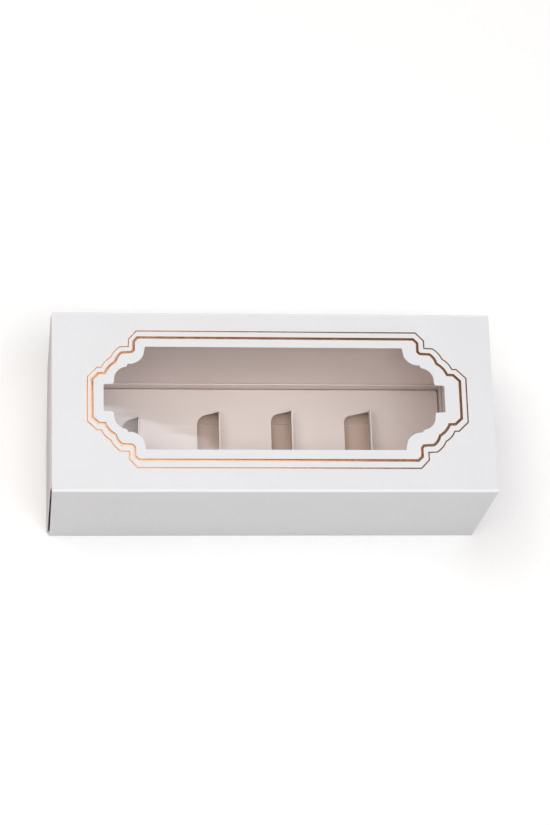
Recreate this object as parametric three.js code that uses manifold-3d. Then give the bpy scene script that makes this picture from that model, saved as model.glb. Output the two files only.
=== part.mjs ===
// A macaron box of white paperboard. A printed sleeve has a window with scalloped
// corners in its top panel, closed by a clear film and framed by two foil borders.
// A tray with hollow walls slides in the sleeve, and a raised insert in the tray has
// dividers folded up from it, one between each two macarons.
//
// Millimetres, +Z up, +X along the box, +Y to its back. The origin is the centre of
// the sleeve's underside. The tray slides out towards -X.

import * as THREE from "three";
import { mergeVertices } from "three/addons/utils/BufferGeometryUtils.js";
import Module from "manifold-3d";

const wasm = await Module();
wasm.setup();

// Sleeve, outside
const LENGTH = 165;
const WIDTH = 70;
const HEIGHT = 60;
const BOARD = 0.5;
const FOLD_RADIUS = 0.8;
const FOLD_STEPS = 4;

// Play between pieces that slide in, lie on or stand in each other
const SLIDING_PLAY = 0.6;
const RESTING_PLAY = 0.3;
const GLUE_LINE = 0.1;

// Clear film, glued under the top panel round the window
const FILM_THICKNESS = 0.2;
const FILM_MARGIN = 6;

// Window and borders. Each is drawn about its own point of the top panel, since the
// foil and the cut aren't quite in line.
const WINDOW_CENTRE = new THREE.Vector2(0.4, 1.3);
const INNER_BORDER_CENTRE = new THREE.Vector2(1.2, 1.0);
const OUTER_BORDER_CENTRE = new THREE.Vector2(1.5, 0.8);
const ARC_STEPS = 10;
const INNER_BORDER_WIDTH = 0.85;
const OUTER_BORDER_WIDTH = 0.38;
const FOIL_LIFT = 0.02;
const FOIL_THICKNESS = 0.08;

// Tray
const TRAY_WALL = 10.2;
const TRAY_SHOWS_AT_LEFT = 0.8;
const FLANGE_REACH = 13.4;
const CORNER_SLIT = 0.6;

// Insert
const INSERT_BOARD = 0.4;
const PLATFORM_HEIGHT = 8;
const RIM_RISE = 4.4;
const DIVIDER_LEAN = THREE.MathUtils.degToRad(3);
const DIVIDERS = [
  { hinge: -48.0, reach: 7.0, base: 22.2, taper: 0.8, corner: 5.0 },
  { hinge: -16.6, reach: 9.0, base: 26.8, taper: 1.3, corner: 4.5 },
  { hinge: 11.8, reach: 8.3, base: 27.6, taper: 1.2, corner: 3.5 },
  { hinge: 42.6, reach: 10.2, base: 27.2, taper: 1.6, corner: 3.0 },
];

// Levels and limits that follow from these
const FILM_TOP = HEIGHT - BOARD - GLUE_LINE;
const FILM_BOTTOM = FILM_TOP - FILM_THICKNESS;
const TRAY_BOTTOM = BOARD + RESTING_PLAY;
const TRAY_TOP = FILM_BOTTOM - RESTING_PLAY;
const TRAY_FLOOR = TRAY_BOTTOM + BOARD;
const TRAY_HALF_WIDTH = WIDTH / 2 - BOARD - SLIDING_PLAY;
const TRAY_LEFT = -LENGTH / 2 - TRAY_SHOWS_AT_LEFT;
const TRAY_RIGHT = TRAY_LEFT + LENGTH;
const POCKET_HALF_WIDTH = TRAY_HALF_WIDTH - TRAY_WALL;
const POCKET_LEFT = TRAY_LEFT + TRAY_WALL;
const POCKET_RIGHT = TRAY_RIGHT - TRAY_WALL;
const CLEAR = 5;

const paper = { roughness: 0.55, metalness: 0 };
const foil = { roughness: 0.3, metalness: 1 };
const MATERIALS = {
  sleeve: new THREE.MeshStandardMaterial({ color: 0xf1f1f4, ...paper }),
  window_film: new THREE.MeshStandardMaterial({ color: 0xf4f6f8, roughness: 0.08, transparent: true, opacity: 0.2 }),
  border_inner: new THREE.MeshStandardMaterial({ color: 0xb87a50, ...foil }),
  border_outer: new THREE.MeshStandardMaterial({ color: 0xa8806a, ...foil }),
  tray: new THREE.MeshStandardMaterial({ color: 0xe6dcd8, ...paper }),
  insert: new THREE.MeshStandardMaterial({ color: 0xe9e0dc, ...paper }),
};

function point(x, y) {
  return new THREE.Vector2(x, y);
}

// A closed geometry as a solid that can be cut and joined.
function toSolid(geometry) {
  const bare = geometry.clone();
  bare.deleteAttribute("normal");
  bare.deleteAttribute("uv");
  const merged = mergeVertices(bare);
  const vertProperties = new Float32Array(merged.attributes.position.array);
  const triVerts = new Uint32Array(merged.index.array);
  return new wasm.Manifold(new wasm.Mesh({ numProp: 3, vertProperties, triVerts }));
}

function toGeometry(solid) {
  const { vertProperties, triVerts } = solid.getMesh();
  const geometry = new THREE.BufferGeometry();
  geometry.setAttribute("position", new THREE.BufferAttribute(vertProperties, 3));
  geometry.setIndex(new THREE.BufferAttribute(triVerts, 1));
  geometry.computeVertexNormals();
  return geometry;
}

// A block between two limits on each axis.
function block([x0, x1], [y0, y1], [z0, z1]) {
  const geometry = new THREE.BoxGeometry(x1 - x0, y1 - y0, z1 - z0);
  geometry.translate((x0 + x1) / 2, (y0 + y1) / 2, (z0 + z1) / 2);
  return toSolid(geometry);
}

// A plate of a flat outline, with an optional hole, from one level to the next.
function plate(outline, z0, z1, hole) {
  const shape = new THREE.Shape(outline);
  if (hole) shape.holes.push(new THREE.Path(hole));
  const geometry = new THREE.ExtrudeGeometry(shape, { depth: z1 - z0, bevelEnabled: false });
  geometry.translate(0, 0, z0);
  return geometry;
}

// A rectangle with rounded corners, anticlockwise from its lower right corner.
function roundedRectangle([u0, u1], [v0, v1], radius) {
  const corners = [
    [u1 - radius, v0 + radius, -Math.PI / 2],
    [u1 - radius, v1 - radius, 0],
    [u0 + radius, v1 - radius, Math.PI / 2],
    [u0 + radius, v0 + radius, Math.PI],
  ];
  return corners.flatMap(([u, v, start]) =>
    Array.from({ length: FOLD_STEPS + 1 }, (_, step) => {
      const angle = start + ((Math.PI / 2) * step) / FOLD_STEPS;
      return point(u + radius * Math.cos(angle), v + radius * Math.sin(angle));
    }),
  );
}

// A block whose edges along one axis are rounded as folded board is.
function foldedBlock(axis, [x0, x1], [y0, y1], [z0, z1], radius) {
  if (axis === "z") return toSolid(plate(roundedRectangle([x0, x1], [y0, y1], radius), z0, z1));
  if (axis === "x") {
    const geometry = plate(roundedRectangle([y0, y1], [z0, z1], radius), x0, x1);
    geometry.applyMatrix4(new THREE.Matrix4().set(0, 0, 1, 0, 1, 0, 0, 0, 0, 1, 0, 0, 0, 0, 0, 1));
    return toSolid(geometry);
  }
  const geometry = plate(roundedRectangle([z0, z1], [x0, x1], radius), y0, y1);
  geometry.applyMatrix4(new THREE.Matrix4().set(0, 1, 0, 0, 0, 0, 1, 0, 1, 0, 0, 0, 0, 0, 0, 1));
  return toSolid(geometry);
}

// The stretch from one point to the next as an arc of a given height over its chord,
// without its first point. A positive height bulges to the left of the way.
function bow(from, to, rise) {
  const chord = to.clone().sub(from);
  const half = chord.length() / 2;
  const radius = (half * half + rise * rise) / (2 * Math.abs(rise));
  const left = point(-chord.y, chord.x).normalize();
  const side = Math.sign(rise);
  const middle = from.clone().add(to).multiplyScalar(0.5);
  const centre = middle.addScaledVector(left, rise - side * radius);
  const start = from.clone().sub(centre).angle();
  const sweep = -side * 2 * Math.asin(Math.min(1, half / radius));
  return Array.from({ length: ARC_STEPS }, (_, step) => {
    const angle = start + (sweep * (step + 1)) / ARC_STEPS;
    return point(centre.x + radius * Math.cos(angle), centre.y + radius * Math.sin(angle));
  });
}

// A closed outline from its first quarter, mirrored both ways about its centre. A
// quarter runs clockwise, from the top edge's right end to the right side.
function fourfold(quarter, centre) {
  const back = [...quarter].reverse();
  const turned = [
    ...quarter,
    ...back.map((p) => point(p.x, -p.y)),
    ...quarter.map((p) => point(-p.x, -p.y)),
    ...back.map((p) => point(-p.x, p.y)),
  ];
  return turned.map((p) => p.add(centre)).reverse();
}

// The window's outline: a straight shoulder, a cove, a step, a round lobe and a small
// squared ear at each end of the box.
function windowOutline() {
  const shoulder = point(49.0, 16.6);
  const cove = point(54.8, 13.3);
  const lobe = point(55.3, 12.2);
  const ear = point(59.9, 6.6);
  const earCorner = point(63.1, 5.3);
  const quarter = [
    point(48.3, 20.1),
    shoulder,
    ...bow(shoulder, cove, -1),
    lobe,
    ...bow(lobe, ear, 1.5),
    point(60.3, 5.4),
    earCorner,
    ...bow(earCorner, point(63.8, 4.6), 0.2),
  ];
  return fourfold(quarter, WINDOW_CENTRE);
}

// The middle line of the wide border, with stepped and bowed corners.
function innerBorderLine() {
  const firstBow = point(57.9, 17.9);
  const secondBow = point(60.5, 14.1);
  const quarter = [
    point(51.9, 23.9),
    point(53.4, 22.4),
    point(53.4, 19.0),
    point(54.2, 18.1),
    firstBow,
    ...bow(firstBow, point(60.2, 14.7), 0.35),
    secondBow,
    ...bow(secondBow, point(64.2, 9.8), 0.5),
    point(66.5, 9.7),
    point(68.9, 7.4),
  ];
  return fourfold(quarter, INNER_BORDER_CENTRE);
}

// The middle line of the thin border outside it.
function outerBorderLine() {
  const firstBow = point(58.7, 20.4);
  const secondBow = point(62.3, 16.2);
  const quarter = [
    point(52.6, 26.7),
    point(55.6, 23.5),
    point(55.6, 20.5),
    firstBow,
    ...bow(firstBow, secondBow, 0.45),
    ...bow(secondBow, point(65.8, 12.2), 0.45),
    point(67.4, 12.2),
    point(71.0, 8.7),
  ];
  return fourfold(quarter, OUTER_BORDER_CENTRE);
}

// A closed anticlockwise outline moved outwards by a distance, mitred at its corners.
function offset(outline, distance) {
  const count = outline.length;
  return outline.map((p, index) => {
    const before = p.clone().sub(outline[(index + count - 1) % count]).normalize();
    const after = outline[(index + 1) % count].clone().sub(p).normalize();
    const normal = point(before.y + after.y, -before.x - after.x).normalize();
    const stretch = normal.x * after.y - normal.y * after.x;
    return p.clone().addScaledVector(normal, distance / stretch);
  });
}

function borderGeometry(line, width) {
  const bottom = HEIGHT + FOIL_LIFT;
  return plate(offset(line, width / 2), bottom, bottom + FOIL_THICKNESS, offset(line, -width / 2));
}

// A tube of board along the box, open at both ends, with the window cut in its top.
function sleeveGeometry() {
  const ends = [-LENGTH / 2, LENGTH / 2];
  const outside = foldedBlock("x", ends, [-WIDTH / 2, WIDTH / 2], [0, HEIGHT], FOLD_RADIUS);
  const inside = foldedBlock(
    "x",
    [ends[0] - CLEAR, ends[1] + CLEAR],
    [-WIDTH / 2 + BOARD, WIDTH / 2 - BOARD],
    [BOARD, HEIGHT - BOARD],
    FOLD_RADIUS - BOARD,
  );
  const opening = toSolid(plate(windowOutline(), HEIGHT - CLEAR, HEIGHT + CLEAR));
  return toGeometry(outside.subtract(inside).subtract(opening));
}

// A flat sheet that reaches past the window on every side.
function filmGeometry() {
  const outline = windowOutline();
  const xs = outline.map((p) => p.x);
  const ys = outline.map((p) => p.y);
  const x = [Math.min(...xs) - FILM_MARGIN, Math.max(...xs) + FILM_MARGIN];
  const y = [Math.min(...ys) - FILM_MARGIN, Math.max(...ys) + FILM_MARGIN];
  return toGeometry(block(x, y, [FILM_BOTTOM, FILM_TOP]));
}

// The tray's walls are each an outer panel, a ledge and an inner panel, rolled over
// and ending in a flange on the floor. The inner panels and the ledges of two walls
// don't meet at a corner, so a thin slit is left there.
function trayGeometry() {
  const x = [TRAY_LEFT, TRAY_RIGHT];
  const y = [-TRAY_HALF_WIDTH, TRAY_HALF_WIDTH];
  const z = [TRAY_BOTTOM, TRAY_TOP];
  const outside = foldedBlock("x", x, y, z, FOLD_RADIUS)
    .intersect(foldedBlock("y", x, y, z, FOLD_RADIUS))
    .intersect(foldedBlock("z", x, y, z, FOLD_RADIUS));
  const pocket = block(
    [POCKET_LEFT, POCKET_RIGHT],
    [-POCKET_HALF_WIDTH, POCKET_HALF_WIDTH],
    [TRAY_FLOOR, TRAY_TOP + CLEAR],
  );
  const hollow = block(
    [TRAY_LEFT + BOARD, TRAY_RIGHT - BOARD],
    [-TRAY_HALF_WIDTH + BOARD, TRAY_HALF_WIDTH - BOARD],
    [TRAY_FLOOR, TRAY_TOP - BOARD],
  ).subtract(
    block(
      [POCKET_LEFT - BOARD, POCKET_RIGHT + BOARD],
      [-POCKET_HALF_WIDTH - BOARD, POCKET_HALF_WIDTH + BOARD],
      [TRAY_FLOOR - CLEAR, TRAY_TOP],
    ),
  );
  const flangeHole = block(
    [POCKET_LEFT + FLANGE_REACH, POCKET_RIGHT - FLANGE_REACH],
    [-POCKET_HALF_WIDTH + FLANGE_REACH, POCKET_HALF_WIDTH - FLANGE_REACH],
    [TRAY_FLOOR - CLEAR, TRAY_TOP],
  );
  const flanges = block(
    [POCKET_LEFT - BOARD, POCKET_RIGHT + BOARD],
    [-POCKET_HALF_WIDTH - BOARD, POCKET_HALF_WIDTH + BOARD],
    [TRAY_FLOOR - BOARD / 2, TRAY_FLOOR + BOARD],
  ).subtract(flangeHole);
  let tray = outside.subtract(pocket).subtract(hollow).add(flanges);
  for (const cornerX of [POCKET_LEFT, POCKET_RIGHT]) {
    for (const cornerY of [-POCKET_HALF_WIDTH, POCKET_HALF_WIDTH]) {
      tray = tray.subtract(cornerSlit(cornerX, cornerY));
    }
  }
  return toGeometry(tray);
}

// A thin upright cut on the diagonal, from inside a pocket corner to just short of
// the tray's outer panels.
function cornerSlit(cornerX, cornerY) {
  const outwards = Math.atan2(Math.sign(cornerY), Math.sign(cornerX));
  const start = -BOARD;
  const end = (TRAY_WALL - 2 * BOARD) * Math.SQRT2;
  const geometry = new THREE.BoxGeometry(end - start, CORNER_SLIT, TRAY_TOP - TRAY_FLOOR);
  geometry.translate((start + end) / 2, 0, (TRAY_TOP + TRAY_FLOOR) / 2 + 2 * BOARD);
  geometry.rotateZ(outwards);
  geometry.translate(cornerX, cornerY, 0);
  return toSolid(geometry);
}

// One divider's outline, flat: x from its hinge at 0 to its free edge at -reach. Its
// ends taper away from the hinge, and the corners of the free edge are round.
function dividerOutline({ reach, base, taper, corner }) {
  const bend = point(-(reach - corner), base / 2 - taper);
  const free = point(-reach, bend.y - corner);
  const rise = corner * (Math.SQRT2 - 1) * Math.SQRT1_2;
  const upper = [point(0, base / 2), bend, ...bow(bend, free, -rise)];
  const lower = [...upper].reverse().map((p) => point(p.x, -p.y));
  return [...upper, ...lower];
}

// The tray's insert: a platform on a skirt that stands on the floor and rises past
// the platform as a low rim. Each divider is cut on three sides and folded up.
function insertGeometry() {
  const x = [POCKET_LEFT + RESTING_PLAY, POCKET_RIGHT - RESTING_PLAY];
  const y = [-POCKET_HALF_WIDTH + RESTING_PLAY, POCKET_HALF_WIDTH - RESTING_PLAY];
  const bottom = TRAY_FLOOR + BOARD + RESTING_PLAY;
  const within = ([low, high]) => [low + INSERT_BOARD, high - INSERT_BOARD];
  const skirt = foldedBlock("z", x, y, [bottom, PLATFORM_HEIGHT + RIM_RISE], INSERT_BOARD);
  const above = block(within(x), within(y), [PLATFORM_HEIGHT, PLATFORM_HEIGHT + CLEAR]);
  const below = block(within(x), within(y), [bottom - CLEAR, PLATFORM_HEIGHT - INSERT_BOARD]);
  let insert = skirt.subtract(above).subtract(below);
  for (const sizes of DIVIDERS) {
    const outline = dividerOutline(sizes);
    const cut = plate(outline, PLATFORM_HEIGHT - CLEAR, PLATFORM_HEIGHT + CLEAR);
    cut.translate(sizes.hinge, 0, 0);
    const divider = plate(outline, 0, INSERT_BOARD);
    divider.rotateY(Math.PI / 2 - DIVIDER_LEAN);
    divider.translate(sizes.hinge, 0, PLATFORM_HEIGHT - INSERT_BOARD);
    insert = insert.subtract(toSolid(cut)).add(toSolid(divider));
  }
  return toGeometry(insert);
}

const GEOMETRIES = {
  sleeve: sleeveGeometry(),
  window_film: filmGeometry(),
  border_inner: borderGeometry(innerBorderLine(), INNER_BORDER_WIDTH),
  border_outer: borderGeometry(outerBorderLine(), OUTER_BORDER_WIDTH),
  tray: trayGeometry(),
  insert: insertGeometry(),
};

const box = new THREE.Group();
for (const [name, geometry] of Object.entries(GEOMETRIES)) {
  const mesh = new THREE.Mesh(geometry, MATERIALS[name]);
  mesh.name = name;
  box.add(mesh);
}

export default box;
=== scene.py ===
import bmesh
import bpy
import numpy as np
from bpy.props import FloatProperty, FloatVectorProperty, PointerProperty
from bpy.types import Operator, Panel, PropertyGroup
from mathutils import Matrix, Quaternion, Vector


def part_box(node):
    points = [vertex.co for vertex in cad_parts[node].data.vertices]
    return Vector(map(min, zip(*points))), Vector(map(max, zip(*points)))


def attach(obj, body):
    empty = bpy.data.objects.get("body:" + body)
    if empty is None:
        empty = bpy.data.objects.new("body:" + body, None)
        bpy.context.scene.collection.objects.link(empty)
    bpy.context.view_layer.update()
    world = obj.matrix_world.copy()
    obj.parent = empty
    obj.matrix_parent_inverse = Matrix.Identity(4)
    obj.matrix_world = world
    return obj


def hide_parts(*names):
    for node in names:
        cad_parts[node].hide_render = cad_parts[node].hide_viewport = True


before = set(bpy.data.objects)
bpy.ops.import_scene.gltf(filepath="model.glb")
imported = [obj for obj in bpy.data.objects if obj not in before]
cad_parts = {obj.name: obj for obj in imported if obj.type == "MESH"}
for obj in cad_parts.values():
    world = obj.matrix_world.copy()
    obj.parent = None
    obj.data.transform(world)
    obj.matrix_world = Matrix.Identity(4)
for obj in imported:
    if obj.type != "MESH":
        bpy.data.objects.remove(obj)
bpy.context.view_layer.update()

bl_info = {
    "name": "Macaron Box",
    "version": (1, 0, 0),
    "blender": (4, 5, 0),
    "location": "3D View > Sidebar > Macaron Box",
    "description": "Dresses a paperboard macaron box: sleeve, window film, foil borders, tray and insert",
    "category": "Object",
}

MM = 0.001
SLEEVE_LOW, SLEEVE_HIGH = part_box("sleeve")
FILM_LOW, FILM_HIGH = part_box("window_film")
TRAY_LOW, TRAY_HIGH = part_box("tray")
INSERT_LOW, INSERT_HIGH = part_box("insert")

# Points of the top panel that the window and its borders are drawn about
WINDOW_CENTRE = np.array([0.4, 1.3]) * MM
INNER_BORDER_CENTRE = np.array([1.2, 1.0]) * MM
OUTER_BORDER_CENTRE = np.array([1.5, 0.8]) * MM

# Steps and stations of the grids
ARC_STEPS = 12
FOLD_STEPS = 8
PANEL_STEPS = 16
OUTER_PANEL_STEPS = 10
LEDGE_STEPS = 6
TOP_ROWS = 7
FLAP_STATIONS = 24
FILM_STATIONS = (90, 40)
WALL_STATIONS = 40
TRAY_FLOOR_STATIONS = (12, 6)
HOLE_STATIONS = (6, 12)
DIVIDER_STATIONS = 24
SIDE_STATIONS = 25
RIM_LEVELS = 6
OUTLINE_SPACING = 1.5 * MM
WELD = 0.002 * MM
SHARP_ANGLE = np.radians(32)

# The upward part of a face's normal, from which on it looks up or down
FACING_UP = 0.5
FACING_DOWN = -0.8


def length(name, description, millimetres):
    """A size that a user can change, stated in millimetres and kept in metres."""
    return FloatProperty(
        name=name,
        description=description,
        default=millimetres * MM,
        min=0.0,
        precision=5,
        unit="LENGTH",
    )


def colour(name, description, default):
    """A colour that a user can change."""
    return FloatVectorProperty(
        name=name, description=description, default=default, size=3, min=0.0, max=1.0, subtype="COLOR"
    )


def share(name, description, default):
    """A number from nought to one that a user can change."""
    return FloatProperty(
        name=name, description=description, default=default, min=0.0, max=1.0, subtype="FACTOR"
    )


def power(name, description, watts):
    """The power of a light."""
    return FloatProperty(name=name, description=description, default=watts, min=0.0, unit="POWER")


class SleeveSizes(PropertyGroup):
    board: length("Board", "Thickness of the sleeve's board", 0.5)
    fold_radius: length("Fold radius", "Outer radius of the sleeve's folds", 0.8)
    crease: length("Crease", "Height of the low ridge that scoring leaves beside a fold", 0.05)
    crease_width: length("Crease width", "Width of that ridge", 1.3)
    wall_bow: length("Wall bow", "How far the front and the back wall swell in their middle", 0.12)
    glue_flap: length("Glue flap", "Width of the flap glued inside the back wall", 13.0)
    film: length("Film", "Thickness of the window's film", 0.12)
    film_wave: length("Film wave", "Height of the film's slow waves", 0.03)
    film_drop: length("Film drop", "How far the film's middle level lies below the top of its solid", 0.07)
    wide_line: length("Wide foil line", "Width of the foil line round the window", 1.1)
    thin_line: length("Thin foil line", "Width of the foil line outside it", 0.54)
    foil: length("Foil", "Thickness of the foil lines", 0.04)
    foil_lift: length("Foil lift", "How far the foil stands off the board", 0.015)


class TraySizes(PropertyGroup):
    board: length("Board", "Thickness of the tray's board", 0.4)
    wall: length("Wall", "Thickness of a hollow wall, from its outer to its inner panel", 10.2)
    fold_radius: length("Fold radius", "Outer radius of the folds", 0.7)
    flange: length("Flange", "Reach of the flanges that lie on the floor", 13.4)
    inner_radius: length("Inner radius", "Radius of the fold between an inner panel and its flange", 0.5)
    panel_bow: length("Panel bow", "How far the inner panels bulge into the tray", 0.12)
    corner_gap: length("Corner gap", "Gap between two walls where they meet", 0.12)
    end_splay: length("End splay", "How far the left end panel stands out at the bottom", 0.45)
    end_twist: length("End twist", "How far the left end panel is drawn in towards the back", 0.5)
    end_gap: length("End gap", "How far the long walls stop short of the end panels' outer faces", 1.15)


class InsertSizes(PropertyGroup):
    board: length("Board", "Thickness of the insert's board", 0.4)
    platform: length("Platform", "Height of the platform's top above the surface the box stands on", 8.0)
    groove: length("Groove", "Gap between the platform's rolled edge and the rim", 0.3)
    edge_radius: length("Edge radius", "Radius of the platform's rolled edge", 0.6)
    bend_radius: length("Bend radius", "Radius of the bend at a divider's hinge", 0.35)
    rim: length("Rim", "Height of the rim above the platform's top", 4.4)
    rim_corner: length("Rim corner", "Radius of the rim's corners", 0.6)
    lean: FloatProperty(
        name="Lean",
        description="How far the dividers lean back from upright",
        default=np.radians(4.5),
        subtype="ANGLE",
    )


class Finishes(PropertyGroup):
    coated: colour("Coated board", "Outside of the sleeve", (0.745, 0.75, 0.775))
    plain: colour("Plain board", "Inside of the sleeve", (0.92, 0.85, 0.82))
    tray: colour("Tray board", "Inner panels of the tray", (0.96, 0.875, 0.85))
    # Painted shade: a darker, browner tone for the tray's floor and flanges, in place of the shade under the
    # platform
    reverse: colour("Tray reverse", "Back of the tray board, seen on its floor", (0.77, 0.585, 0.495))
    # Painted shade: a darker copy of the tray board for its outer panels, ledges and underside, in place of
    # the shade on the tray's outside
    tray_outside_shade: colour("Tray outside", "Outer panels and ledges of the tray", (0.65, 0.61, 0.625))
    insert: colour("Insert board", "Platform, rim and dividers", (0.85, 0.76, 0.725))
    cut: colour("Cut edge", "White core of the board, where it is cut", (0.90, 0.87, 0.85))
    foil: colour("Foil", "Copper foil", (0.53, 0.29, 0.17))
    foil_roughness: share("Foil roughness", "Roughness of the stamped foil", 0.16)
    coat_roughness: share("Board roughness", "Roughness of the coated board", 0.5)


class StageSettings(PropertyGroup):
    floor: colour("Floor", "Colour of the floor", (0.97, 0.97, 0.97))
    glow: share("Glow", "Light that the floor gives off by itself near the box", 0.08)
    room: colour("Room", "Colour of the even light all round", (1.0, 0.84, 0.70))
    ambient: share("Ambient", "Strength of the even light all round", 0.14)
    front: power("Front", "Power of the front softbox", 2.1)
    high: power("High", "Power of the high front softbox", 5.0)
    right: power("Right", "Power of the right softbox", 3.3)
    left: power("Left", "Power of the left softbox", 2.9)
    back: power("Back", "Power of the softbox at the back left", 4.3)
    strip: power("Strip", "Power of the strip seen in the film", 1.05)


class BoxSettings(PropertyGroup):
    sleeve: PointerProperty(type=SleeveSizes)
    tray: PointerProperty(type=TraySizes)
    insert: PointerProperty(type=InsertSizes)
    finishes: PointerProperty(type=Finishes)
    stage: PointerProperty(type=StageSettings)


# Outlines

def bow(start, end, rise):
    """The arc from one point to the next, without its first point, whose height over the chord is rise. The
    centre lies on the chord's normal, and the angle about it runs evenly. A positive rise bulges to the left
    of the way."""
    start, end = np.array(start, float), np.array(end, float)
    chord = end - start
    half = np.hypot(*chord) / 2
    radius = (half**2 + rise**2) / (2 * abs(rise))
    side = np.sign(rise)
    left = np.array([-chord[1], chord[0]]) / (2 * half)
    centre = (start + end) / 2 + left * (rise - side * radius)
    begin = np.arctan2(start[1] - centre[1], start[0] - centre[0])
    sweep = -side * 2 * np.arcsin(min(1.0, half / radius))
    angle = begin + sweep * np.arange(1, ARC_STEPS + 1) / ARC_STEPS
    return centre + radius * np.stack([np.cos(angle), np.sin(angle)], 1)


def fourfold(quarter, centre):
    """A closed outline in metres from its first quarter in millimetres, mirrored both ways about its centre.
    It runs clockwise from the back edge's right end."""
    quarter = np.array(quarter)
    back = quarter[::-1]
    turned = [quarter, back * (1, -1), quarter * (-1, -1), back * (-1, 1)]
    return np.concatenate(turned) * MM + centre


def window_quarter():
    """A straight shoulder, a cove, a step, a round lobe and a small squared ear."""
    return [
        (48.3, 20.1),
        (49.0, 16.6),
        *bow((49.0, 16.6), (54.8, 13.3), -1.0),
        (55.3, 12.2),
        *bow((55.3, 12.2), (59.9, 6.6), 1.5),
        (60.3, 5.4),
        (63.1, 5.3),
        *bow((63.1, 5.3), (63.8, 4.6), 0.2),
    ]


def inner_border_quarter():
    """The middle line of the wide border, with stepped and bowed corners."""
    return [
        (51.9, 23.9),
        (53.4, 22.4),
        (53.4, 19.0),
        (54.2, 18.1),
        (57.9, 17.9),
        *bow((57.9, 17.9), (60.2, 14.7), 0.35),
        (60.5, 14.1),
        *bow((60.5, 14.1), (64.2, 9.8), 0.5),
        (66.5, 9.7),
        (68.9, 7.4),
    ]


def outer_border_quarter():
    """The middle line of the thin border outside it."""
    return [
        (52.6, 26.7),
        (55.6, 23.5),
        (55.6, 20.5),
        (58.7, 20.4),
        *bow((58.7, 20.4), (62.3, 16.2), 0.45),
        *bow((62.3, 16.2), (65.8, 12.2), 0.45),
        (67.4, 12.2),
        (71.0, 8.7),
    ]


def refined(points, spacing):
    """A closed outline with its corners kept and no step longer than spacing: the stations along it are
    those of its corners and evenly spread ones between each two."""
    loop = np.concatenate([points, points[:1]])
    steps = np.hypot(*np.diff(loop, axis=0).T)
    parts = np.maximum(1, np.ceil(steps / spacing).astype(int))
    start = np.repeat(np.arange(len(steps)), parts)
    first = np.repeat(np.cumsum(parts) - parts, parts)
    fraction = (np.arange(parts.sum()) - first) / np.repeat(parts, parts)
    return loop[start] * (1 - fraction[:, None]) + loop[start + 1] * fraction[:, None]


def mitred(line, distance):
    """A closed clockwise outline moved outwards by a distance: each point goes along the mean of its two
    edges' normals, by the distance over the cosine of half the turn."""
    before = line - np.roll(line, 1, 0)
    after = np.roll(line, -1, 0) - line
    normal_before = np.stack([-before[:, 1], before[:, 0]], 1) / np.hypot(*before.T)[:, None]
    normal_after = np.stack([-after[:, 1], after[:, 0]], 1) / np.hypot(*after.T)[:, None]
    middle = normal_before + normal_after
    middle /= np.hypot(*middle.T)[:, None]
    return line + middle * (distance / (middle * normal_after).sum(1))[:, None]


# Meshes

def grid_faces(rows, columns, closed):
    """Quads between neighbouring rows and columns, whose normals point along the rows' way crossed with the
    columns'."""
    row = np.arange(rows - (not closed))[:, None]
    column = np.arange(columns - 1)[None, :]
    next_row = (row + 1) % rows
    corners = [
        row * columns + column,
        next_row * columns + column,
        next_row * columns + column + 1,
        row * columns + column + 1,
    ]
    return np.stack([np.broadcast_to(c, (row.size, column.size)) for c in corners], -1).reshape(-1, 4)


def object_from(name, patches):
    """One object of several patches, each a grid of points (rows, columns, 3) and whether its rows close on
    themselves. Points that two patches share are welded."""
    points, faces, first = [], [], 0
    for grid, closed in patches:
        points.append(grid.reshape(-1, 3))
        faces.append(grid_faces(grid.shape[0], grid.shape[1], closed) + first)
        first += grid.shape[0] * grid.shape[1]
    mesh = bpy.data.meshes.new(name)
    mesh.from_pydata(np.concatenate(points), [], np.concatenate(faces))
    work = bmesh.new()
    work.from_mesh(mesh)
    bmesh.ops.remove_doubles(work, verts=work.verts, dist=WELD)
    work.to_mesh(mesh)
    work.free()
    piece = bpy.data.objects.new(name, mesh)
    bpy.context.scene.collection.objects.link(piece)
    return piece


def thicken(piece, thickness):
    """Gives a sheet its thickness behind its shown side. The back takes the second material and the cut
    edges the third, for which three empty places are made."""
    for _ in range(3):
        piece.data.materials.append(None)
    modifier = piece.modifiers.new("Board", "SOLIDIFY")
    modifier.thickness = thickness
    modifier.offset = -1.0
    modifier.use_even_offset = True
    modifier.material_offset = 1
    modifier.material_offset_rim = 2


def settle(piece):
    """Applies the piece's modifiers and shades it smooth, apart from its sharp edges."""
    evaluated = piece.evaluated_get(bpy.context.evaluated_depsgraph_get())
    finished = bpy.data.meshes.new_from_object(evaluated)
    piece.modifiers.clear()
    old = piece.data
    piece.data = finished
    bpy.data.meshes.remove(old)
    finished.shade_smooth()
    finished.set_sharp_from_angle(angle=SHARP_ANGLE)
    return piece


def dress(piece, materials, body, node):
    """Gives a finished piece its materials, the body it rides on and, unless that is None,
    the node it stands for."""
    places = piece.data.materials
    for index, material in enumerate(materials):
        if index < len(places):
            places[index] = material
        else:
            places.append(material)
    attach(piece, body)
    if node:
        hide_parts(node)
    return piece


def retone(piece, choose, material):
    """Gives the shown faces that a rule chooses by centre and normal another of the piece's materials."""
    faces = piece.data.polygons
    centres = np.empty((len(faces), 3))
    normals = np.empty((len(faces), 3))
    indices = np.empty(len(faces), int)
    faces.foreach_get("center", centres.ravel())
    faces.foreach_get("normal", normals.ravel())
    faces.foreach_get("material_index", indices)
    indices[choose(centres, normals) & (indices == 0)] = material
    faces.foreach_set("material_index", indices)


def quarter_turn(centre, radius, start, turn=90.0):
    """Points on an arc about a centre, from a start angle through a turn in degrees."""
    angle = np.radians(start + turn * np.linspace(0, 1, FOLD_STEPS + 1))
    return np.array(centre) + radius * np.stack([np.cos(angle), np.sin(angle)], 1)


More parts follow.
